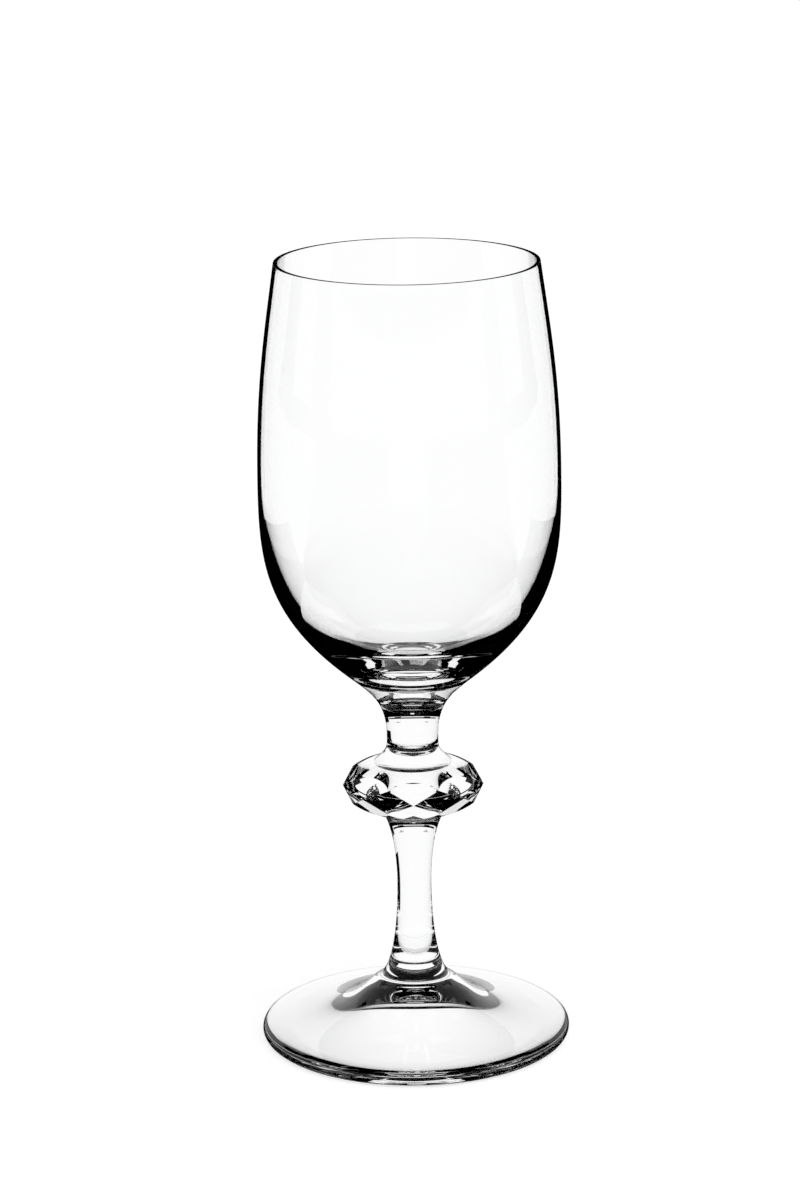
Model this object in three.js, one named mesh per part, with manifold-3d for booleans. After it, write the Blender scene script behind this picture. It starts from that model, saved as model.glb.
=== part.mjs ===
// A port glass in clear crystal: foot, stem, cut knop, neck and bowl, fused end to end on one upright axis.
// Millimetres, +Z up, with the origin at the middle of the foot's resting face.
import * as THREE from "three";
import { mergeVertices } from "three/addons/utils/BufferGeometryUtils.js";
import Module from "manifold-3d";

// Lengths along the axis, from the table up
const FOOT_HEIGHT = 11.5;
const STEM_LENGTH = 34.7;
const NECK_LENGTH = 17;
const BOWL_HEIGHT = 81.85;

// Foot: a shallow cone with a rounded edge, hollowed underneath
const FOOT_RADIUS = 30.4;
const FOOT_EDGE_THICKNESS = 2.6;
const FOOT_EDGE_SLOPE = degrees(6.1);
const FOOT_EDGE_REACH = 16.9;
const FOOT_TOP_REACH = 3.8;
const REST_RING_WIDTH = 3.8;
const UNDERSIDE_RISE = 7.7;
const UNDERSIDE_SLOPE = degrees(5.2);
const UNDERSIDE_REACH = 16;
const UNDERSIDE_TOP_REACH = 9.1;

// Stem: a slim shank with a waist, flaring to the foot and to the knop
const STEM_WAIST_RADIUS = 3.35;
const STEM_WAIST_HEIGHT = 19.5;
const STEM_FOOT_RADIUS = 7.4;
const STEM_FOOT_SLOPE = degrees(29);
const STEM_FOOT_REACH = 4.3;
const STEM_LOWER_REACH = 4.1;
const STEM_KNOP_RADIUS = 6.5;
const STEM_KNOP_SLOPE = degrees(40);
const STEM_KNOP_REACH = 2.1;
const STEM_UPPER_REACH = 7.7;

// Knop: a flattened bulb with three rows of eight cut facets
const KNOP_BULB_RADIUS = 14;
const KNOP_BULB_HALF_HEIGHT = 5.7;
const KNOP_CORNER_RADIUS = 13.8;
const KNOP_FACETS = 8;
const KNOP_FACET_TILT = degrees(40);
const KNOP_CORNER_FLAT = 0.03;

// Neck: a waisted piece with a trumpet top under the bowl
const NECK_KNOP_RADIUS = 7.65;
const NECK_KNOP_SLOPE = degrees(42);
const NECK_KNOP_REACH = 4;
const NECK_LOWER_REACH = 2.4;
const NECK_WAIST_RADIUS = 5.03;
const NECK_WAIST_HEIGHT = 5.4;
const NECK_UPPER_REACH = 6.4;
const NECK_BOWL_RADIUS = 11.2;
const NECK_BOWL_SLOPE = degrees(41);
const NECK_BOWL_REACH = 4.4;

// Bowl: outside form
const BELLY_RADIUS = 29.1;
const BELLY_HEIGHT = 37.9;
const RIM_RADIUS = 25.27;
const RIM_LEAN = degrees(8);
const RIM_REACH = 14.4;
const BELLY_UPPER_REACH = 20.5;
const BELLY_LOWER_REACH = 15;
const BOWL_BOTTOM_SLOPE = degrees(38);
const BOWL_BOTTOM_REACH = 21;

// Bowl: wall, rim and inside form
const RIM_WALL = 0.85;
const RIM_ROUND = 0.06;
const BELLY_WALL = 0.95;
const BOTTOM_THICKNESS = 4.3;
const INSIDE_BELLY_REACH = 23.4;
const INSIDE_BOTTOM_REACH = 15.8;

// Facets: steps round the axis and along the curves
const STEPS_AROUND = 48;
const LONG_CURVE_STEPS = 10;
const SHORT_CURVE_STEPS = 7;
const EDGE_STEPS = 6;

const MERGE_DISTANCE = 1e-4;

const wasm = await Module();
wasm.setup();

function degrees(angle) {
  return THREE.MathUtils.degToRad(angle);
}

// A point of a profile: distance from the axis and height.
function at(radius, height) {
  return new THREE.Vector2(radius, height);
}

// A point that lies a reach away from another, at a slope up from the horizontal.
function away(from, slope, reach) {
  return at(from.x + reach * Math.cos(slope), from.y + reach * Math.sin(slope));
}

// A smooth stretch of a profile between two points, drawn towards one handle at each end.
function stretch(start, startHandle, endHandle, end, steps) {
  return new THREE.CubicBezierCurve(start, startHandle, endHandle, end).getPoints(steps);
}

// A round stretch of a profile, from one angle to the other.
function round(centre, radius, from, to, steps) {
  const points = [];
  for (let i = 0; i <= steps; i++) {
    points.push(away(centre, from + ((to - from) * i) / steps, radius));
  }
  return points;
}

// Joins stretches into one profile, with each shared end kept once.
function profile(...stretches) {
  const points = stretches.flat();
  return points.filter((point, i) => i === 0 || point.distanceTo(points[i - 1]) > MERGE_DISTANCE);
}

// A profile turned about the upright axis, with its first step at a given angle from +X.
function revolve(points, steps, start = 0) {
  const geometry = new THREE.LatheGeometry(points, steps);
  return geometry.rotateX(Math.PI / 2).rotateZ(Math.PI / 2 + start);
}

function solidOf(geometry) {
  geometry.deleteAttribute("normal");
  geometry.deleteAttribute("uv");
  const merged = mergeVertices(geometry, MERGE_DISTANCE);
  const vertProperties = merged.attributes.position.array;
  const triVerts = new Uint32Array(merged.index.array);
  return new wasm.Manifold(new wasm.Mesh({ numProp: 3, vertProperties, triVerts }));
}

function geometryOf(solid) {
  const { vertProperties, triVerts } = solid.getMesh();
  const geometry = new THREE.BufferGeometry();
  geometry.setAttribute("position", new THREE.BufferAttribute(vertProperties, 3));
  geometry.setIndex(new THREE.BufferAttribute(triVerts, 1));
  geometry.computeVertexNormals();
  return geometry;
}

// Foot: the underside's hollow, the flat resting ring, the rounded edge and the sloping top.
function footGeometry() {
  const edgeRound = FOOT_EDGE_THICKNESS / 2;
  const edgeCentre = at(FOOT_RADIUS - edgeRound, edgeRound);
  const restInside = at(edgeCentre.x - REST_RING_WIDTH, 0);
  const hollow = at(0, UNDERSIDE_RISE);
  const edgeTop = away(edgeCentre, Math.PI / 2 - FOOT_EDGE_SLOPE, edgeRound);
  const top = at(STEM_FOOT_RADIUS, FOOT_HEIGHT);
  const edgeBelow = round(edgeCentre, edgeRound, -Math.PI / 2, 0, EDGE_STEPS / 2);
  const edgeAbove = round(edgeCentre, edgeRound, 0, Math.PI / 2 - FOOT_EDGE_SLOPE, EDGE_STEPS / 2);
  const underside = stretch(
    hollow,
    at(UNDERSIDE_TOP_REACH, UNDERSIDE_RISE),
    away(restInside, Math.PI - UNDERSIDE_SLOPE, UNDERSIDE_REACH),
    restInside,
    SHORT_CURVE_STEPS,
  );
  const upper = stretch(
    edgeTop,
    away(edgeTop, Math.PI - FOOT_EDGE_SLOPE, FOOT_EDGE_REACH),
    away(top, -STEM_FOOT_SLOPE, FOOT_TOP_REACH),
    top,
    LONG_CURVE_STEPS,
  );
  return revolve(profile(underside, edgeBelow, edgeAbove, upper, [at(0, FOOT_HEIGHT)]), STEPS_AROUND);
}

// Stem: two flares that meet at the waist, between flat fused ends.
function stemGeometry() {
  const waist = at(STEM_WAIST_RADIUS, STEM_WAIST_HEIGHT);
  const bottom = at(STEM_FOOT_RADIUS, 0);
  const top = at(STEM_KNOP_RADIUS, STEM_LENGTH);
  const lower = stretch(
    bottom,
    away(bottom, Math.PI - STEM_FOOT_SLOPE, STEM_FOOT_REACH),
    away(waist, -Math.PI / 2, STEM_LOWER_REACH),
    waist,
    LONG_CURVE_STEPS,
  );
  const upper = stretch(
    waist,
    away(waist, Math.PI / 2, STEM_UPPER_REACH),
    away(top, Math.PI + STEM_KNOP_SLOPE, STEM_KNOP_REACH),
    top,
    SHORT_CURVE_STEPS,
  );
  return revolve(profile([at(0, 0)], lower, upper, [at(0, STEM_LENGTH)]), STEPS_AROUND);
}

// Angle up the bulb's oval section at which it has a given radius.
function bulbAngle(radius) {
  return Math.acos(radius / KNOP_BULB_RADIUS);
}

function bulbHeight(radius) {
  return KNOP_BULB_HALF_HEIGHT * Math.sin(bulbAngle(radius));
}

// The bulb as it is before cutting: an oval section, flat where the stem and the neck are fused on.
function bulbGeometry() {
  const low = -bulbAngle(STEM_KNOP_RADIUS);
  const high = bulbAngle(NECK_KNOP_RADIUS);
  const steps = 2 * LONG_CURVE_STEPS;
  const side = [];
  for (let i = 0; i <= steps; i++) {
    const angle = low + ((high - low) * i) / steps;
    side.push(at(KNOP_BULB_RADIUS * Math.cos(angle), KNOP_BULB_HALF_HEIGHT * Math.sin(angle)));
  }
  return revolve(profile([at(0, side[0].y)], side, [at(0, side[steps].y)]), STEPS_AROUND);
}

// The planes of the middle row of facets: an eight-sided prism with its corners at the front and the sides.
function prismGeometry() {
  const reach = 2 * KNOP_BULB_HALF_HEIGHT;
  const points = [at(0, -reach), at(KNOP_CORNER_RADIUS, -reach), at(KNOP_CORNER_RADIUS, reach), at(0, reach)];
  return revolve(points, KNOP_FACETS);
}

// The planes of the upper and the lower row: a double pyramid, turned half a facet, that just clips the corners.
function pyramidsGeometry() {
  const halfFacet = Math.PI / KNOP_FACETS;
  const faceRadius = KNOP_CORNER_RADIUS - KNOP_CORNER_FLAT;
  const apex = faceRadius / Math.tan(KNOP_FACET_TILT);
  const points = [at(0, -apex), at(faceRadius / Math.cos(halfFacet), 0), at(0, apex)];
  return revolve(points, KNOP_FACETS, halfFacet);
}

function knopGeometry() {
  const cut = solidOf(bulbGeometry()).intersect(solidOf(prismGeometry())).intersect(solidOf(pyramidsGeometry()));
  return geometryOf(cut);
}

// Neck: a short flare from the knop to the waist, then a wide trumpet up to the bowl.
function neckGeometry() {
  const waist = at(NECK_WAIST_RADIUS, NECK_WAIST_HEIGHT);
  const bottom = at(NECK_KNOP_RADIUS, 0);
  const top = at(NECK_BOWL_RADIUS, NECK_LENGTH);
  const lower = stretch(
    bottom,
    away(bottom, Math.PI - NECK_KNOP_SLOPE, NECK_KNOP_REACH),
    away(waist, -Math.PI / 2, NECK_LOWER_REACH),
    waist,
    SHORT_CURVE_STEPS,
  );
  const upper = stretch(
    waist,
    away(waist, Math.PI / 2, NECK_UPPER_REACH),
    away(top, Math.PI + NECK_BOWL_SLOPE, NECK_BOWL_REACH),
    top,
    SHORT_CURVE_STEPS,
  );
  return revolve(profile([at(0, 0)], lower, upper, [at(0, NECK_LENGTH)]), STEPS_AROUND);
}

// Bowl: up the outside from the fused bottom, over the flat rim, and down the inside to the thick bottom.
function bowlGeometry() {
  const outsideRound = at(RIM_RADIUS - RIM_ROUND, BOWL_HEIGHT - RIM_ROUND);
  const insideRound = at(RIM_RADIUS - RIM_WALL + RIM_ROUND, BOWL_HEIGHT - RIM_ROUND);
  const rimOutside = round(outsideRound, RIM_ROUND, RIM_LEAN, Math.PI / 2, EDGE_STEPS / 2);
  const rimInside = round(insideRound, RIM_ROUND, Math.PI / 2, Math.PI + RIM_LEAN, EDGE_STEPS / 2);
  const bottom = at(NECK_BOWL_RADIUS, 0);
  const belly = at(BELLY_RADIUS, BELLY_HEIGHT);
  const rim = rimOutside[0];
  const insideRim = rimInside[EDGE_STEPS / 2];
  const insideBelly = at(BELLY_RADIUS - BELLY_WALL, BELLY_HEIGHT);
  const insideBottom = at(0, BOTTOM_THICKNESS);
  const lower = stretch(
    bottom,
    away(bottom, BOWL_BOTTOM_SLOPE, BOWL_BOTTOM_REACH),
    away(belly, -Math.PI / 2, BELLY_LOWER_REACH),
    belly,
    LONG_CURVE_STEPS,
  );
  const upper = stretch(
    belly,
    away(belly, Math.PI / 2, BELLY_UPPER_REACH),
    away(rim, -Math.PI / 2 + RIM_LEAN, RIM_REACH),
    rim,
    SHORT_CURVE_STEPS,
  );
  const insideUpper = stretch(
    insideRim,
    away(insideRim, -Math.PI / 2 + RIM_LEAN, RIM_REACH),
    away(insideBelly, Math.PI / 2, BELLY_UPPER_REACH),
    insideBelly,
    SHORT_CURVE_STEPS,
  );
  const insideLower = stretch(
    insideBelly,
    away(insideBelly, -Math.PI / 2, INSIDE_BELLY_REACH),
    at(INSIDE_BOTTOM_REACH, BOTTOM_THICKNESS),
    insideBottom,
    LONG_CURVE_STEPS,
  );
  const side = profile([at(0, 0)], lower, upper, rimOutside, rimInside, insideUpper, insideLower);
  return revolve(side, STEPS_AROUND);
}

// One piece of the glass, in clear crystal, with its lower end at a height on the axis.
function piece(name, geometry, height) {
  const crystal = new THREE.MeshStandardMaterial({ color: 0xf4f7f7, roughness: 0.04, metalness: 0 });
  crystal.transparent = true;
  crystal.opacity = 0.35;
  const mesh = new THREE.Mesh(geometry, crystal);
  mesh.name = name;
  mesh.position.z = height;
  return mesh;
}

const knopBottom = FOOT_HEIGHT + STEM_LENGTH;
const knopMiddle = knopBottom + bulbHeight(STEM_KNOP_RADIUS);
const neckBottom = knopMiddle + bulbHeight(NECK_KNOP_RADIUS);
const bowlBottom = neckBottom + NECK_LENGTH;

const glass = new THREE.Group();
glass.name = "port_glass";
glass.add(piece("foot", footGeometry(), 0));
glass.add(piece("stem", stemGeometry(), FOOT_HEIGHT));
glass.add(piece("knop", knopGeometry(), knopMiddle));
glass.add(piece("neck", neckGeometry(), neckBottom));
glass.add(piece("bowl", bowlGeometry(), bowlBottom));

export default glass;
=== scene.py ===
"""A port glass in clear crystal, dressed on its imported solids: bowl, neck, cut knop, stem and foot."""
import math

import bmesh
import bpy
from mathutils import Euler, Matrix, Vector


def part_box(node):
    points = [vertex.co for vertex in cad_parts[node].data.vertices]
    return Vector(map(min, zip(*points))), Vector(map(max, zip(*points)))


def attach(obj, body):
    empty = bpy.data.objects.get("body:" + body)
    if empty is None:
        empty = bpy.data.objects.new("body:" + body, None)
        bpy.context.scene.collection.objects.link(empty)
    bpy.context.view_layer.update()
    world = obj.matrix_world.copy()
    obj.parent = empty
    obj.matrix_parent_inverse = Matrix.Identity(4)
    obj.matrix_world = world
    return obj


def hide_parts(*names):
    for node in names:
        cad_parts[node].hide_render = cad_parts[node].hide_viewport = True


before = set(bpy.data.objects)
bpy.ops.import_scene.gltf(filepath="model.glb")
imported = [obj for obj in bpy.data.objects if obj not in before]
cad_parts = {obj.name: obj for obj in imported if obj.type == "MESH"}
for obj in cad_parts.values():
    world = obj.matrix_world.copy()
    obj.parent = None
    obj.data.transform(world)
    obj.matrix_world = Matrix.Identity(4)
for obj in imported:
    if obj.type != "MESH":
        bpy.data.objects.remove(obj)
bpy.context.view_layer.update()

MM = 0.001
BODY = "root"

# Heights of the fused seams, in millimetres, from the frame
Z_FOOT_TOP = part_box("foot")[1].z / MM
Z_STEM_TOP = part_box("stem")[1].z / MM
Z_KNOP_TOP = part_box("knop")[1].z / MM
Z_NECK_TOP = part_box("neck")[1].z / MM
Z_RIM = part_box("bowl")[1].z / MM

# Foot, in millimetres
FOOT_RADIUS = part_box("foot")[1].x / MM
FOOT_EDGE_THICKNESS = 2.6
FOOT_EDGE_SLOPE = math.radians(6.1)
FOOT_EDGE_REACH = 16.9
FOOT_TOP_REACH = 3.8
REST_RING_WIDTH = 3.8
UNDERSIDE_RISE = 7.7
UNDERSIDE_SLOPE = math.radians(5.2)
UNDERSIDE_REACH = 16
UNDERSIDE_TOP_REACH = 9.1

# Stem
STEM_WAIST_RADIUS = 3.35
STEM_WAIST_HEIGHT = 19.5
STEM_FOOT_RADIUS = 7.4
STEM_FOOT_SLOPE = math.radians(29)
STEM_FOOT_REACH = 4.3
STEM_LOWER_REACH = 4.1
STEM_KNOP_RADIUS = 6.5
STEM_KNOP_SLOPE = math.radians(40)
STEM_KNOP_REACH = 2.1
STEM_UPPER_REACH = 7.7

# Knop
KNOP_BULB_RADIUS = 14
KNOP_BULB_HALF_HEIGHT = 5.7
KNOP_CORNER_RADIUS = 13.8
KNOP_FACETS = 8
KNOP_FACET_TILT = math.radians(40)
KNOP_CORNER_FLAT = 0.03

# Neck
NECK_KNOP_RADIUS = 7.65
NECK_KNOP_SLOPE = math.radians(42)
NECK_KNOP_REACH = 4
NECK_LOWER_REACH = 2.4
NECK_WAIST_RADIUS = 5.03
NECK_WAIST_HEIGHT = 5.4
NECK_UPPER_REACH = 6.4
NECK_BOWL_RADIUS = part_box("neck")[1].x / MM
NECK_BOWL_SLOPE = math.radians(41)
NECK_BOWL_REACH = 4.4

# Bowl
BELLY_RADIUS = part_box("bowl")[1].x / MM
BELLY_HEIGHT = 37.9
RIM_RADIUS = 25.27
RIM_LEAN = math.radians(8)
RIM_REACH = 14.4
BELLY_UPPER_REACH = 20.5
BELLY_LOWER_REACH = 15
BOWL_BOTTOM_SLOPE = math.radians(38)
BOWL_BOTTOM_REACH = 21
RIM_WALL = 0.85
RIM_ROUND = 0.06
BELLY_WALL = 0.95
BOTTOM_THICKNESS = 4.3
INSIDE_BELLY_REACH = 23.4
INSIDE_BOTTOM_REACH = 15.8

# Fineness of the turned surfaces
STEPS_AROUND = 192
CURVE_STEPS = 40
EDGE_STEPS = 16
SAME_POINT = 1e-5

# Materials of a piece, by their place in its list
GLASS_INDEX = 0
SEAM_INDEX = 1

# Slopes of a profile
UP = math.pi / 2
DOWN = -math.pi / 2
INWARDS = math.pi


def away(point, slope, reach):
    """The point that lies a reach away, at a slope up from the outward direction."""
    return (point[0] + reach * math.cos(slope), point[1] + reach * math.sin(slope))


def stretch(start, start_handle, end_handle, end, steps=CURVE_STEPS):
    """A smooth stretch of a profile, drawn towards one handle at each end."""
    points = []
    for i in range(steps + 1):
        t = i / steps
        s = 1 - t
        weights = (s ** 3, 3 * s * s * t, 3 * s * t * t, t ** 3)
        corners = (start, start_handle, end_handle, end)
        radius = sum(w * c[0] for w, c in zip(weights, corners))
        height = sum(w * c[1] for w, c in zip(weights, corners))
        points.append((radius, height))
    return points


def arc(centre, radius, first, last, steps=EDGE_STEPS):
    """A round stretch of a profile, from one angle to the other."""
    return [away(centre, first + (last - first) * i / steps, radius) for i in range(steps + 1)]


def profile(*stretches):
    """Joins stretches into one profile, with each shared end kept once."""
    points = []
    for part in stretches:
        for point in part:
            if not points or math.dist(point, points[-1]) > SAME_POINT:
                points.append(point)
    return points


def turned(name, points, bottom=0.0, seams=()):
    """A closed piece turned about the axis. Its flat ends at the seam heights are fused to others."""
    bm = bmesh.new()
    rings = []
    for radius, height in points:
        z = (bottom + height) * MM
        if radius < SAME_POINT:
            rings.append([bm.verts.new((0, 0, z))])
            continue
        ring = []
        for i in range(STEPS_AROUND):
            a = 2 * math.pi * i / STEPS_AROUND
            ring.append(bm.verts.new((radius * MM * math.cos(a), radius * MM * math.sin(a), z)))
        rings.append(ring)
    for k in range(len(rings) - 1):
        low, high = rings[k], rings[k + 1]
        flat = abs(points[k][1] - points[k + 1][1]) < SAME_POINT
        fused = flat and any(abs(points[k][1] - s) < SAME_POINT for s in seams)
        for i in range(STEPS_AROUND):
            j = (i + 1) % STEPS_AROUND
            if len(low) == 1:
                corners = (low[0], high[j], high[i])
            elif len(high) == 1:
                corners = (low[i], low[j], high[0])
            else:
                corners = (low[i], low[j], high[j], high[i])
            face = bm.faces.new(corners)
            face.smooth = not fused
            face.material_index = SEAM_INDEX if fused else GLASS_INDEX
    bm.normal_update()
    for edge in bm.edges:
        edge.smooth = len({face.material_index for face in edge.link_faces}) == 1
    return finished(name, bm)


def finished(name, bm):
    """Puts a finished mesh into the scene as an object."""
    mesh = bpy.data.meshes.new(name)
    bm.to_mesh(mesh)
    bm.free()
    piece = bpy.data.objects.new(name, mesh)
    bpy.context.scene.collection.objects.link(piece)
    return piece


def make_foot():
    half = FOOT_EDGE_THICKNESS / 2
    centre = (FOOT_RADIUS - half, half)
    rest = (centre[0] - REST_RING_WIDTH, 0)
    edge = arc(centre, half, DOWN, UP - FOOT_EDGE_SLOPE)
    top = (STEM_FOOT_RADIUS, Z_FOOT_TOP)
    underside = stretch(
        (0, UNDERSIDE_RISE),
        (UNDERSIDE_TOP_REACH, UNDERSIDE_RISE),
        away(rest, INWARDS - UNDERSIDE_SLOPE, UNDERSIDE_REACH),
        rest,
    )
    upper = stretch(
        edge[-1],
        away(edge[-1], INWARDS - FOOT_EDGE_SLOPE, FOOT_EDGE_REACH),
        away(top, -STEM_FOOT_SLOPE, FOOT_TOP_REACH),
        top,
    )
    points = profile(underside, edge, upper, [(0, Z_FOOT_TOP)])
    return turned("foot_glass", points, seams=[Z_FOOT_TOP])


def make_stem():
    length = Z_STEM_TOP - Z_FOOT_TOP
    waist = (STEM_WAIST_RADIUS, STEM_WAIST_HEIGHT)
    bottom = (STEM_FOOT_RADIUS, 0)
    top = (STEM_KNOP_RADIUS, length)
    lower = stretch(
        bottom,
        away(bottom, INWARDS - STEM_FOOT_SLOPE, STEM_FOOT_REACH),
        away(waist, DOWN, STEM_LOWER_REACH),
        waist,
    )
    upper = stretch(
        waist,
        away(waist, UP, STEM_UPPER_REACH),
        away(top, INWARDS + STEM_KNOP_SLOPE, STEM_KNOP_REACH),
        top,
    )
    points = profile([(0, 0)], lower, upper, [(0, length)])
    return turned("stem_glass", points, Z_FOOT_TOP, seams=[0, length])


def bulb_angle(radius):
    return math.acos(radius / KNOP_BULB_RADIUS)


def cut(bm, point, normal):
    """Takes away what lies past a plane and closes the flat that is left."""
    everything = bm.verts[:] + bm.edges[:] + bm.faces[:]
    found = bmesh.ops.bisect_plane(
        bm, geom=everything, plane_co=point, plane_no=normal, clear_outer=True
    )
    rim = [e for e in found["geom_cut"] if isinstance(e, bmesh.types.BMEdge)]
    made = bmesh.ops.edgeloop_fill(bm, edges=rim)
    for face in made["faces"]:
        face.smooth = False
        face.material_index = GLASS_INDEX
        for edge in face.edges:
            edge.smooth = False


def make_knop():
    low = -bulb_angle(STEM_KNOP_RADIUS)
    high = bulb_angle(NECK_KNOP_RADIUS)
    middle = Z_STEM_TOP - KNOP_BULB_HALF_HEIGHT * math.sin(low)
    steps = 2 * CURVE_STEPS
    side = []
    for i in range(steps + 1):
        a = low + (high - low) * i / steps
        side.append((KNOP_BULB_RADIUS * math.cos(a), KNOP_BULB_HALF_HEIGHT * math.sin(a)))
    ends = (side[0][1], side[-1][1])
    points = profile([(0, ends[0])], side, [(0, ends[1])])
    knop = turned("knop_glass", points, middle, seams=ends)
    bm = bmesh.new()
    bm.from_mesh(knop.data)
    half_facet = math.pi / KNOP_FACETS
    apothem = KNOP_CORNER_RADIUS * math.cos(half_facet) * MM
    corner = (KNOP_CORNER_RADIUS - KNOP_CORNER_FLAT) * MM
    for k in range(KNOP_FACETS):
        a = 2 * half_facet * k
        outwards = Vector((math.cos(a), math.sin(a), 0))
        between = Vector((math.cos(a + half_facet), math.sin(a + half_facet), 0))
        centre = Vector((0, 0, middle * MM))
        cut(bm, centre + between * apothem, between)
        for side_up in (1, -1):
            tilt = Vector((0, 0, side_up * math.sin(KNOP_FACET_TILT)))
            cut(bm, centre + outwards * corner, outwards * math.cos(KNOP_FACET_TILT) + tilt)
    bm.to_mesh(knop.data)
    bm.free()
    return knop


def make_neck():
    length = Z_NECK_TOP - Z_KNOP_TOP
    waist = (NECK_WAIST_RADIUS, NECK_WAIST_HEIGHT)
    bottom = (NECK_KNOP_RADIUS, 0)
    top = (NECK_BOWL_RADIUS, length)
    lower = stretch(
        bottom,
        away(bottom, INWARDS - NECK_KNOP_SLOPE, NECK_KNOP_REACH),
        away(waist, DOWN, NECK_LOWER_REACH),
        waist,
    )
    upper = stretch(
        waist,
        away(waist, UP, NECK_UPPER_REACH),
        away(top, INWARDS + NECK_BOWL_SLOPE, NECK_BOWL_REACH),
        top,
    )
    points = profile([(0, 0)], lower, upper, [(0, length)])
    return turned("neck_glass", points, Z_KNOP_TOP, seams=[0, length])


def make_bowl():
    height = Z_RIM - Z_NECK_TOP
    outside = (RIM_RADIUS - RIM_ROUND, height - RIM_ROUND)
    inside = (RIM_RADIUS - RIM_WALL + RIM_ROUND, height - RIM_ROUND)
    rim = arc(outside, RIM_ROUND, RIM_LEAN, UP) + arc(inside, RIM_ROUND, UP, INWARDS + RIM_LEAN)
    bottom = (NECK_BOWL_RADIUS, 0)
    belly = (BELLY_RADIUS, BELLY_HEIGHT)
    inside_belly = (BELLY_RADIUS - BELLY_WALL, BELLY_HEIGHT)
    inside_bottom = (0, BOTTOM_THICKNESS)
    lower = stretch(
        bottom,
        away(bottom, BOWL_BOTTOM_SLOPE, BOWL_BOTTOM_REACH),
        away(belly, DOWN, BELLY_LOWER_REACH),
        belly,
    )
    upper = stretch(
        belly,
        away(belly, UP, BELLY_UPPER_REACH),
        away(rim[0], DOWN + RIM_LEAN, RIM_REACH),
        rim[0],
    )
    inside_upper = stretch(
        rim[-1],
        away(rim[-1], DOWN + RIM_LEAN, RIM_REACH),
        away(inside_belly, UP, BELLY_UPPER_REACH),
        inside_belly,
    )
    inside_lower = stretch(
        inside_belly,
        away(inside_belly, DOWN, INSIDE_BELLY_REACH),
        (INSIDE_BOTTOM_REACH, BOTTOM_THICKNESS),
        inside_bottom,
    )
    points = profile([(0, 0)], lower, upper, rim, inside_upper, inside_lower)
    return turned("bowl_glass", points, Z_NECK_TOP, seams=[0])


# Materials
WHITE = (1, 1, 1, 1)
BLACK = (0, 0, 0, 1)
CRYSTAL_IOR = 1.54
CRYSTAL_GLARE = 0.2
CRYSTAL_DIM = (0.992, 0.996, 0.996, 1)
POLISH_BEST = 0.006
POLISH_WORST = 0.024
CLOUD_DETAIL = 2
RING_DISTORTION = 1.5
RING_SHARE = 0.05

# Ripple of blown and of cut glass, with its depth in metres
BLOWN_CLOUD = 70
BLOWN_RINGS = 110
BLOWN_STRETCH = 1
BLOWN_DEPTH = 0.00002
CUT_CLOUD = 160
CUT_RINGS = 60
CUT_STRETCH = 0.3
CUT_DEPTH = 0.000004


def node_material(name):
    material = bpy.data.materials.new(name)
    material.use_nodes = True
    nodes = material.node_tree.nodes
    nodes.clear()
    return material, nodes, material.node_tree.links


def value_node(nodes, links, operation, *values):
    """A math node fed by sockets or plain numbers."""
    node = nodes.new("ShaderNodeMath")
    node.operation = operation
    for socket, value in zip(node.inputs, values):
        if isinstance(value, (int, float)):
            socket.default_value = value
        else:
            links.new(value, socket)
    return node.outputs[0]


def crystal_material(name, cloud_scale, ring_scale, stretch_up, depth):
    """Clear crystal with a faint cloud in its colour and polish, and a shallow ripple."""
    material, nodes, links = node_material(name)
    out = nodes.new("ShaderNodeOutputMaterial")
    glass = nodes.new("ShaderNodeBsdfPrincipled")
    glass.inputs["Transmission Weight"].default_value = 1
    glass.inputs["IOR"].default_value = CRYSTAL_IOR
    glass.inputs["Specular Tint"].default_value = (CRYSTAL_GLARE, CRYSTAL_GLARE, CRYSTAL_GLARE, 1)
    place = nodes.new("ShaderNodeTexCoord")
    mapping = nodes.new("ShaderNodeMapping")
    mapping.inputs["Scale"].default_value = (1, 1, stretch_up)
    links.new(place.outputs["Object"], mapping.inputs["Vector"])
    cloud = nodes.new("ShaderNodeTexNoise")
    cloud.inputs["Scale"].default_value = cloud_scale
    cloud.inputs["Detail"].default_value = CLOUD_DETAIL
    links.new(mapping.outputs["Vector"], cloud.inputs["Vector"])
    rings = nodes.new("ShaderNodeTexWave")
    rings.bands_direction = "Z"
    rings.inputs["Scale"].default_value = ring_scale
    rings.inputs["Distortion"].default_value = RING_DISTORTION
    links.new(place.outputs["Object"], rings.inputs["Vector"])
    tint = nodes.new("ShaderNodeValToRGB")
    tint.color_ramp.elements[0].color = CRYSTAL_DIM
    tint.color_ramp.elements[1].color = WHITE
    links.new(cloud.outputs["Fac"], tint.inputs["Fac"])
    links.new(tint.outputs["Color"], glass.inputs["Base Color"])
    polish = nodes.new("ShaderNodeMapRange")
    polish.inputs["To Min"].default_value = POLISH_BEST
    polish.inputs["To Max"].default_value = POLISH_WORST
    links.new(cloud.outputs["Fac"], polish.inputs["Value"])
    links.new(polish.outputs["Result"], glass.inputs["Roughness"])
    ringed = (rings.outputs["Fac"], RING_SHARE, cloud.outputs["Fac"])
    height = value_node(nodes, links, "MULTIPLY_ADD", *ringed)
    ripple = nodes.new("ShaderNodeBump")
    ripple.inputs["Strength"].default_value = 1
    ripple.inputs["Distance"].default_value = depth
    links.new(height, ripple.inputs["Height"])
    links.new(ripple.outputs["Normal"], glass.inputs["Normal"])
    links.new(glass.outputs["BSDF"], out.inputs["Surface"])
    return material


def fused_material():
    """Inside a fused seam there is no surface, so light passes straight on."""
    material, nodes, links = node_material("fused_seam")
    out = nodes.new("ShaderNodeOutputMaterial")
    clear = nodes.new("ShaderNodeBsdfTransparent")
    links.new(clear.outputs["BSDF"], out.inputs["Surface"])
    return material


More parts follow.
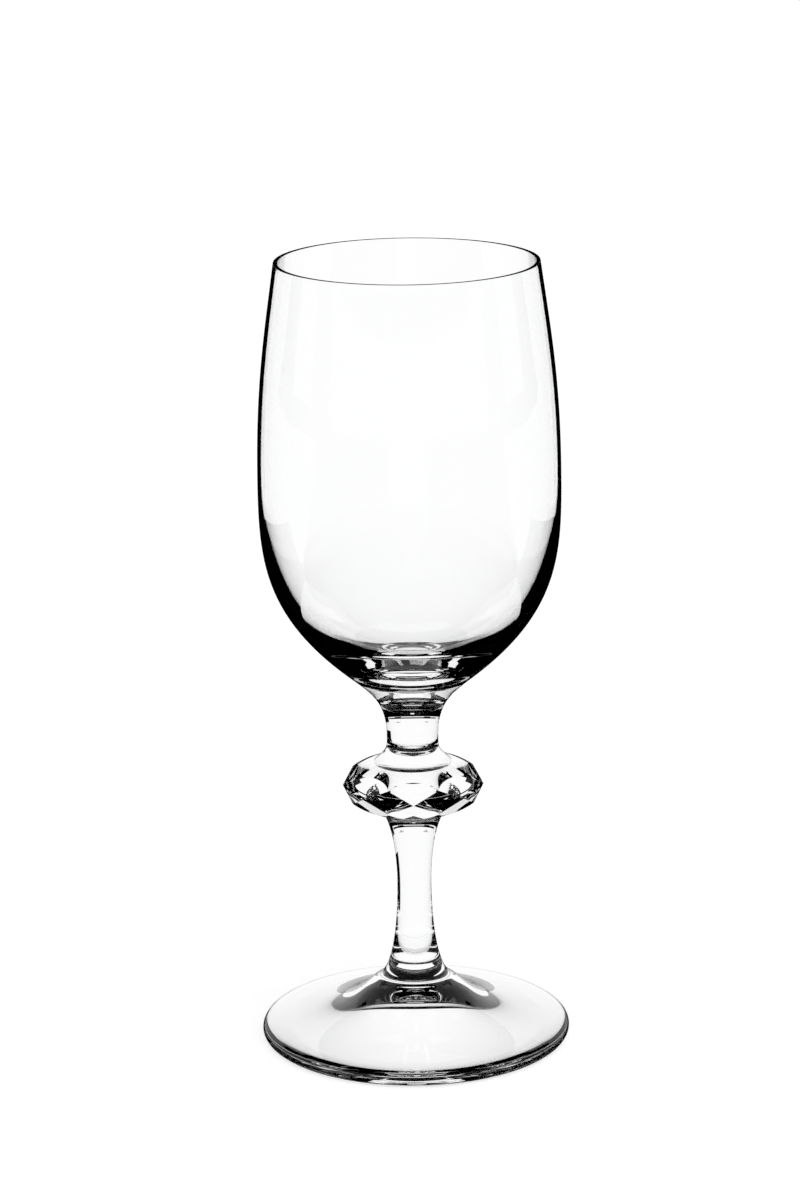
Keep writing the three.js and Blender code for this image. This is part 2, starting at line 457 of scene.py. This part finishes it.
# Floor and light, in metres
FLOOR_SIZE = 12.0
FLOOR_DROP = 0.0001
FLOOR_TONE = (0.9, 0.9, 0.9, 1)
FLOOR_GLOW = 0.72
AMBIENT = 0.25
LAMP_PLACE = (0.75, -1.0, 4.0)
LAMP_SIZE = 3.5
LAMP_POWER = 30.0
MIRROR_SIDE = 0.27
MIRROR_SLOPE = 1.7
MIRROR_FRONT = -0.2


def mirrored_area(nodes, links):
    """1 on the floor far to both sides of the glass and in front of it, 0 elsewhere."""
    place = nodes.new("ShaderNodeNewGeometry")
    parts = nodes.new("ShaderNodeSeparateXYZ")
    links.new(place.outputs["Position"], parts.inputs[0])
    side = value_node(nodes, links, "ABSOLUTE", parts.outputs["X"])
    far = value_node(nodes, links, "GREATER_THAN", side, MIRROR_SIDE)
    limit = value_node(nodes, links, "MULTIPLY", side, MIRROR_SLOPE)
    beside = value_node(nodes, links, "LESS_THAN", parts.outputs["Y"], limit)
    sides = value_node(nodes, links, "MULTIPLY", far, beside)
    front = value_node(nodes, links, "LESS_THAN", parts.outputs["Y"], MIRROR_FRONT)
    return value_node(nodes, links, "MAXIMUM", sides, front)


def floor_material():
    """Pale floor, white through the glass. Mirrored in the glass, only one area of it is white."""
    material, nodes, links = node_material("floor_white")
    out = nodes.new("ShaderNodeOutputMaterial")
    both = nodes.new("ShaderNodeAddShader")
    matt = nodes.new("ShaderNodeBsdfDiffuse")
    matt.inputs["Color"].default_value = FLOOR_TONE
    glow = nodes.new("ShaderNodeEmission")
    path = nodes.new("ShaderNodeLightPath")
    shown = value_node(nodes, links, "MULTIPLY", path.outputs["Is Camera Ray"], FLOOR_GLOW)
    links.new(shown, glow.inputs["Strength"])
    links.new(matt.outputs["BSDF"], both.inputs[0])
    links.new(glow.outputs["Emission"], both.inputs[1])
    white = nodes.new("ShaderNodeEmission")
    white.inputs["Strength"].default_value = 1
    through = nodes.new("ShaderNodeMixShader")
    links.new(path.outputs["Is Transmission Ray"], through.inputs["Fac"])
    links.new(both.outputs["Shader"], through.inputs[1])
    links.new(white.outputs["Emission"], through.inputs[2])
    reflected = nodes.new("ShaderNodeEmission")
    links.new(mirrored_area(nodes, links), reflected.inputs["Strength"])
    mirror = nodes.new("ShaderNodeMixShader")
    links.new(path.outputs["Is Reflection Ray"], mirror.inputs["Fac"])
    links.new(through.outputs["Shader"], mirror.inputs[1])
    links.new(reflected.outputs["Emission"], mirror.inputs[2])
    links.new(mirror.outputs["Shader"], out.inputs["Surface"])
    return material


def make_floor():
    half = FLOOR_SIZE / 2
    corners = [(-half, -half), (half, -half), (half, half), (-half, half)]
    bm = bmesh.new()
    bm.faces.new([bm.verts.new((x, y, -FLOOR_DROP)) for x, y in corners])
    floor = finished("floor", bm)
    floor.data.materials.append(floor_material())


def background_rays(nodes, links):
    """1 for the rays that show the background: from the camera, and bent or mirrored by the glass."""
    path = nodes.new("ShaderNodeLightPath").outputs
    either = value_node(nodes, links, "MAXIMUM", path["Is Camera Ray"], path["Is Glossy Ray"])
    return value_node(nodes, links, "MAXIMUM", either, path["Is Transmission Ray"])


def make_world():
    world = bpy.data.worlds.new("studio")
    bpy.context.scene.world = world
    world.use_nodes = True
    nodes, links = world.node_tree.nodes, world.node_tree.links
    nodes.clear()
    out = nodes.new("ShaderNodeOutputWorld")
    mix = nodes.new("ShaderNodeMixShader")
    ambient = nodes.new("ShaderNodeBackground")
    ambient.inputs["Strength"].default_value = AMBIENT
    white = nodes.new("ShaderNodeBackground")
    white.inputs["Strength"].default_value = 1
    for background in (ambient, white):
        background.inputs["Color"].default_value = WHITE
    links.new(background_rays(nodes, links), mix.inputs["Fac"])
    links.new(ambient.outputs["Background"], mix.inputs[1])
    links.new(white.outputs["Background"], mix.inputs[2])
    links.new(mix.outputs["Shader"], out.inputs["Surface"])


def make_lamp():
    """A broad soft lamp overhead, which gives the floor the glass's faint shadow."""
    data = bpy.data.lights.new("softbox", "AREA")
    data.size = LAMP_SIZE
    data.energy = LAMP_POWER
    lamp = bpy.data.objects.new("softbox", data)
    lamp.location = LAMP_PLACE
    lamp.rotation_euler = (-Vector(LAMP_PLACE)).to_track_quat("-Z", "Y").to_euler()
    lamp.visible_camera = False
    lamp.visible_glossy = False
    lamp.visible_transmission = False
    bpy.context.scene.collection.objects.link(lamp)


# Black cards round the glass, in metres. Azimuths turn from the back, +Y, towards +X
FULL_TURN = 2 * math.pi
CARD_STEPS = 48
CARD_CENTRE = 0.00001
CARD_LIFT = 0.0001
CARD_HEIGHT = 0.055
CARD_STAND = 0.13
CARD_RADIUS = 0.78

# White strips that run out between the dark wedges
STRIP_COUNT = 8
STRIP_HALF = 0.029
STRIP_SPREAD = 0.26

# Fans: azimuth in degrees, near end and far end
FANS = (
    (0, 0.05, 0.78),
    (90, 0.5, 0.78),
    (-90, 0.5, 0.78),
    (135, 0.05, 0.6),
    (-135, 0.05, 0.6),
    (45, 0.05, 0.15),
    (-45, 0.05, 0.15),
)
FAN_HALF = 0.029
FAN_SPREAD = 0.49
FAN_GAP = 0.18

# Lid: panes on both sides, with two azimuths in degrees, near end, far end and the card's kind
LID_HEIGHT = 0.19
LID_HOLE = 0.1
PANE_LAYER = 0.0005
LID_PANES = (
    (0, 15, 0.1, 0.165, "seventh"),
    (15, 20, 0.1, 0.165, "lower"),
    (0, 2.5, 0.165, 0.36, "all"),
    (0, 2.5, 0.46, 0.78, "all"),
    (2.5, 20, 0.165, 0.78, "all"),
    (20, 40, 0.1, 0.15, "lower"),
    (20, 31, 0.15, 0.26, "all"),
    (20, 31, 0.26, 0.78, "few"),
    (31, 40, 0.15, 0.78, "all"),
    (40, 60, 0.1, 0.6, "many"),
    (40, 60, 0.1, 0.6, "straight"),
    (40, 60, 0.6, 0.78, "all"),
    (60, 72, 0.1, 0.26, "many"),
    (60, 72, 0.1, 0.26, "straight"),
    (60, 72, 0.26, 0.78, "all"),
    (72, 100, 0.1, 0.78, "all"),
    (100, 125, 0.1, 0.15, "all"),
    (100, 125, 0.15, 0.4, "fifth"),
    (100, 125, 0.4, 0.78, "all"),
    (125, 180, 0.1, 0.78, "all"),
)
RIM_CARD_FAR = 0.28
RIM_CARD_HALF = math.radians(50)

# Standing cards, and a drum round them all
BAR_LOW = 0.13
BAR_HIGH = 0.165
BAR_HALF = math.radians(46)
SIDE_NEAR = 0.15
SIDE_FIRST = math.radians(45)
SIDE_LAST = math.radians(150)
ROD_NEAR = 0.05
ROD_FAR = 0.28
ROD_WALL = 0.45
ROD_WALL_LOW = 0.06
ROD_FIRST = math.radians(48)
ROD_LAST = math.radians(80)
DRUM_RADIUS = 0.8
DRUM_HEIGHT = 0.2
DRUM_HOLE = 0.15
DRUM_HOLE_HALF = math.radians(50)

# Low cards under the foot, at its edge and in front of it
UNDER_NEAR = 0.022
UNDER_FAR = 0.045
UNDER_DROP = FLOOR_DROP / 2
BELOW_DROP = FLOOR_DROP / 4
EDGE_NEAR = 0.0302
EDGE_FAR = 0.045
EDGE_REAR_HALF = math.radians(16)
FRONT_NEAR = 0.045
FRONT_FAR = 0.085
FRONT_HEIGHT = 0.048
FRONT_HALF = math.radians(75)

# Counts of the Light Path are whole, so a limit lies half a count away from them
MANY = 99
HALF_COUNT = 0.5


def counted(count, least=0, most=MANY):
    """A limit for a card: it shows to rays with a count from the least to the most."""
    return count, least - HALF_COUNT, most + HALF_COUNT


def card_material(name, *limits):
    """Black card. With limits on counts of the Light Path it is clear to rays outside any of them."""
    material, nodes, links = node_material(name)
    out = nodes.new("ShaderNodeOutputMaterial")
    matt = nodes.new("ShaderNodeBsdfDiffuse")
    matt.inputs["Color"].default_value = BLACK
    if not limits:
        links.new(matt.outputs["BSDF"], out.inputs["Surface"])
        return material
    path = nodes.new("ShaderNodeLightPath")
    shown = 1.0
    for count, low, high in limits:
        above = value_node(nodes, links, "GREATER_THAN", path.outputs[count], low)
        below = value_node(nodes, links, "LESS_THAN", path.outputs[count], high)
        both = value_node(nodes, links, "MULTIPLY", above, below)
        shown = value_node(nodes, links, "MULTIPLY", shown, both)
    clear = nodes.new("ShaderNodeBsdfTransparent")
    mix = nodes.new("ShaderNodeMixShader")
    links.new(shown, mix.inputs["Fac"])
    links.new(clear.outputs["BSDF"], mix.inputs[1])
    links.new(matt.outputs["BSDF"], mix.inputs[2])
    links.new(mix.outputs["Shader"], out.inputs["Surface"])
    return material


def card_materials():
    """The kinds of card, each shown to rays with the given counts of events, turns and passes."""
    unturned = counted("Glossy Depth", most=0)
    turned_once = counted("Glossy Depth", 1, 1)
    turned_back = counted("Glossy Depth", 1)
    turned_twice = counted("Glossy Depth", 2)
    outside = counted("Transmission Depth", most=0)
    once_through = counted("Transmission Depth", most=2)
    few = counted("Ray Depth", most=3)
    many = counted("Ray Depth", 4)
    kinds = {
        "all": (),
        "few": (few,),
        "many": (many,),
        "fifth": (counted("Ray Depth", 5),),
        "seventh": (counted("Ray Depth", 7, 7),),
        "lower": (counted("Ray Depth", most=7),),
        "deepest": (counted("Ray Depth", 8),),
        "straight": (unturned,),
        "rod": (unturned, once_through),
        "turned_back": (turned_back,),
        "outline": (turned_back, once_through),
        "under": (turned_back, few),
        "beside": (turned_back, counted("Ray Depth", most=6)),
        "below": (turned_once, many),
        "deep": (turned_twice, many),
        "first_mirrored": (outside,),
    }
    return {kind: card_material("card_" + kind, *limits) for kind, limits in kinds.items()}


def stand(name, bm, material, mirrored=True):
    """Puts up a black card that is seen only through or in the glass."""
    card = finished(name, bm)
    card.data.materials.append(material)
    card.visible_camera = False
    card.visible_diffuse = False
    card.visible_shadow = False
    card.visible_glossy = mirrored


def swept_card(outline, first=0.0, last=FULL_TURN):
    """A card swept about the axis between two azimuths, from an outline of radii and heights."""
    bm = bmesh.new()
    columns = []
    for i in range(CARD_STEPS + 1):
        a = first + (last - first) * i / CARD_STEPS
        columns.append([bm.verts.new((r * math.sin(a), r * math.cos(a), z)) for r, z in outline])
    for left, right in zip(columns, columns[1:]):
        for k in range(len(outline) - 1):
            bm.faces.new((left[k], right[k], right[k + 1], left[k + 1]))
    return bm


def flat_ring(near, far, first=0.0, last=FULL_TURN, height=LID_HEIGHT):
    return swept_card([(near, height), (far, height)], first, last)


def directions(azimuth):
    """The directions out from the axis at an azimuth, and across that."""
    out = Vector((math.sin(azimuth), math.cos(azimuth), 0))
    across = Vector((math.cos(azimuth), -math.sin(azimuth), 0))
    return out, across


def raised(places, height):
    return [place + Vector((0, 0, height)) for place in places]


def add_sheet(bm, corners):
    bm.faces.new([bm.verts.new(corner) for corner in corners])


def strip_edge(azimuth, side, along):
    """A point on the edge of a white strip that runs out from the glass and widens."""
    out, across = directions(azimuth)
    return out * along + across * side * (STRIP_HALF + along * STRIP_SPREAD)


def wedge_card(k):
    """The dark wedge between two white strips: a raised sheet, and a standing one at its far end."""
    period = FULL_TURN / STRIP_COUNT
    near = STRIP_HALF / (math.tan(period / 2) - STRIP_SPREAD)
    tip = strip_edge(k * period, 1, near)
    ends = [strip_edge((k + 1) * period, -1, CARD_RADIUS), strip_edge(k * period, 1, CARD_RADIUS)]
    bm = bmesh.new()
    add_sheet(bm, raised([tip] + ends, CARD_HEIGHT))
    add_sheet(bm, raised(ends, CARD_STAND) + raised(ends[::-1], LID_HEIGHT))
    return bm


def fan_card(azimuth, near, far):
    """A raised sheet that widens away from the glass. The longest have standing sheets at the end."""
    out, across = directions(azimuth)
    near_half = across * (FAN_HALF + near * FAN_SPREAD)
    far_half = across * (FAN_HALF + far * FAN_SPREAD)
    corners = [out * near - near_half, out * near + near_half, out * far + far_half, out * far - far_half]
    bm = bmesh.new()
    add_sheet(bm, raised(corners, CARD_HEIGHT))
    if far == CARD_RADIUS:
        for side in (1, -1):
            ends = [out * far + across * side * far * share for share in (FAN_GAP, FAN_SPREAD)]
            add_sheet(bm, raised(ends, CARD_HEIGHT) + raised(ends[::-1], LID_HEIGHT))
    return bm


def make_sheets(cards):
    """Dark wedges with a white gap behind the glass in each view, and fans for its outlines."""
    for k in range(STRIP_COUNT):
        stand("wedge_%d" % k, wedge_card(k), cards["straight"])
    for k, (azimuth, near, far) in enumerate(FANS):
        fan = fan_card(math.radians(azimuth), near, far)
        stand("fan_card_%d" % k, fan, cards["outline"], False)


def make_lid(cards):
    """A dark lid over the glass, with panes that differ in the rays that see them."""
    stand("lid_middle", flat_ring(CARD_CENTRE, LID_HOLE), cards["lower"])
    for k, (first, last, near, far, kind) in enumerate(LID_PANES):
        for side in (1, -1):
            ends = (side * math.radians(first), side * math.radians(last))
            pane = flat_ring(near, far, *ends, LID_HEIGHT + k * PANE_LAYER)
            stand("lid_pane_%d_%d" % (k, side), pane, cards[kind], False)
    rim = flat_ring(LID_HOLE, RIM_CARD_FAR, -RIM_CARD_HALF, RIM_CARD_HALF)
    stand("rim_card", rim, cards["first_mirrored"])


def make_walls(cards):
    """Standing cards behind and beside the glass, and the drum for rays that turn in it for long."""
    bar = [(CARD_RADIUS, BAR_LOW), (CARD_RADIUS, BAR_HIGH)]
    stand("bar_card", swept_card(bar, -BAR_HALF, BAR_HALF), cards["rod"], False)
    wall = [(SIDE_NEAR, CARD_LIFT), (CARD_RADIUS, CARD_LIFT), (CARD_RADIUS, LID_HEIGHT)]
    for side in (1, -1):
        card = swept_card(wall, side * SIDE_FIRST, side * SIDE_LAST)
        stand("side_card_%d" % side, card, cards["deep"], False)
    rod_sheet = [(ROD_NEAR, CARD_LIFT), (ROD_FAR, CARD_LIFT)]
    stand("rod_sheet", swept_card(rod_sheet, ROD_FIRST, ROD_LAST), cards["rod"], False)
    rod_wall = [(ROD_WALL, ROD_WALL_LOW), (ROD_WALL, LID_HEIGHT)]
    stand("rod_wall", swept_card(rod_wall, ROD_FIRST, ROD_LAST), cards["rod"], False)
    drum_floor = [(CARD_CENTRE, 0), (DRUM_RADIUS, 0)]
    drum_side = [(DRUM_RADIUS, DRUM_HEIGHT), (DRUM_HOLE, DRUM_HEIGHT)]
    stand("drum_card", swept_card(drum_floor + drum_side), cards["deepest"])
    ends = (DRUM_HOLE_HALF, FULL_TURN - DRUM_HOLE_HALF)
    stand("drum_top", flat_ring(CARD_CENTRE, DRUM_HOLE, *ends, DRUM_HEIGHT), cards["deepest"])


def make_low_cards(cards):
    """Cards at floor level, for rays that turn back inside the glass."""
    stand("under_card", flat_ring(UNDER_NEAR, UNDER_FAR, height=-UNDER_DROP), cards["under"], False)
    stand("below_card", flat_ring(CARD_CENTRE, UNDER_FAR, height=-BELOW_DROP), cards["below"], False)
    edge = [(EDGE_NEAR, 0), (EDGE_FAR, 0)]
    stand("edge_rear", swept_card(edge, -EDGE_REAR_HALF, EDGE_REAR_HALF), cards["beside"], False)
    edge_round = swept_card(edge, EDGE_REAR_HALF, FULL_TURN - EDGE_REAR_HALF)
    stand("edge_card", edge_round, cards["turned_back"], False)
    front = [(FRONT_NEAR, 0), (FRONT_FAR, 0), (FRONT_FAR, FRONT_HEIGHT)]
    front_card = swept_card(front, math.pi - FRONT_HALF, math.pi + FRONT_HALF)
    stand("front_card", front_card, cards["turned_back"], False)


def make_cards():
    """Black cards round the glass draw its dark outlines."""
    cards = card_materials()
    make_sheets(cards)
    make_lid(cards)
    make_walls(cards)
    make_low_cards(cards)


# Camera, in metres, as the photograph was taken
CAMERA_PLACE = (-0.0021, -0.71683, 0.28445)
CAMERA_PITCH = math.radians(15.298)
CAMERA_ROLL = math.radians(-0.758)
FOCAL_PIXELS = 3849.0
PHOTO_HEIGHT = 1202
SENSOR = 36.0

# Passes and turns that a ray may take in the glass
BOUNCES = 24
GLOSSY_BOUNCES = 12
CLEAR_LAYERS = 32


def make_camera():
    data = bpy.data.cameras.new("camera")
    camera = bpy.data.objects.new("camera", data)
    bpy.context.scene.collection.objects.link(camera)
    data.sensor_width = SENSOR
    data.lens = FOCAL_PIXELS / PHOTO_HEIGHT * SENSOR
    tilt = Euler((math.pi / 2 - CAMERA_PITCH, 0, 0)).to_matrix()
    turn = tilt @ Matrix.Rotation(CAMERA_ROLL, 3, "Z")
    camera.matrix_world = Matrix.Translation(CAMERA_PLACE) @ turn.to_4x4()
    bpy.context.scene.camera = camera


def set_render(scene):
    scene.view_settings.view_transform = "Standard"
    scene.cycles.max_bounces = BOUNCES
    scene.cycles.transmission_bounces = BOUNCES
    scene.cycles.glossy_bounces = GLOSSY_BOUNCES
    scene.cycles.transparent_max_bounces = CLEAR_LAYERS


def dress(piece, node, materials):
    for material in materials:
        piece.data.materials.append(material)
    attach(piece, BODY)
    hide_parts(node)


crystal = crystal_material("crystal", BLOWN_CLOUD, BLOWN_RINGS, BLOWN_STRETCH, BLOWN_DEPTH)
cut_crystal = crystal_material("cut_crystal", CUT_CLOUD, CUT_RINGS, CUT_STRETCH, CUT_DEPTH)
fused = fused_material()
dress(make_foot(), "foot", (crystal, fused))
dress(make_stem(), "stem", (crystal, fused))
dress(make_knop(), "knop", (cut_crystal, fused))
dress(make_neck(), "neck", (crystal, fused))
dress(make_bowl(), "bowl", (crystal, fused))
make_floor()
make_cards()
make_world()
make_lamp()
make_camera()
set_render(bpy.context.scene)
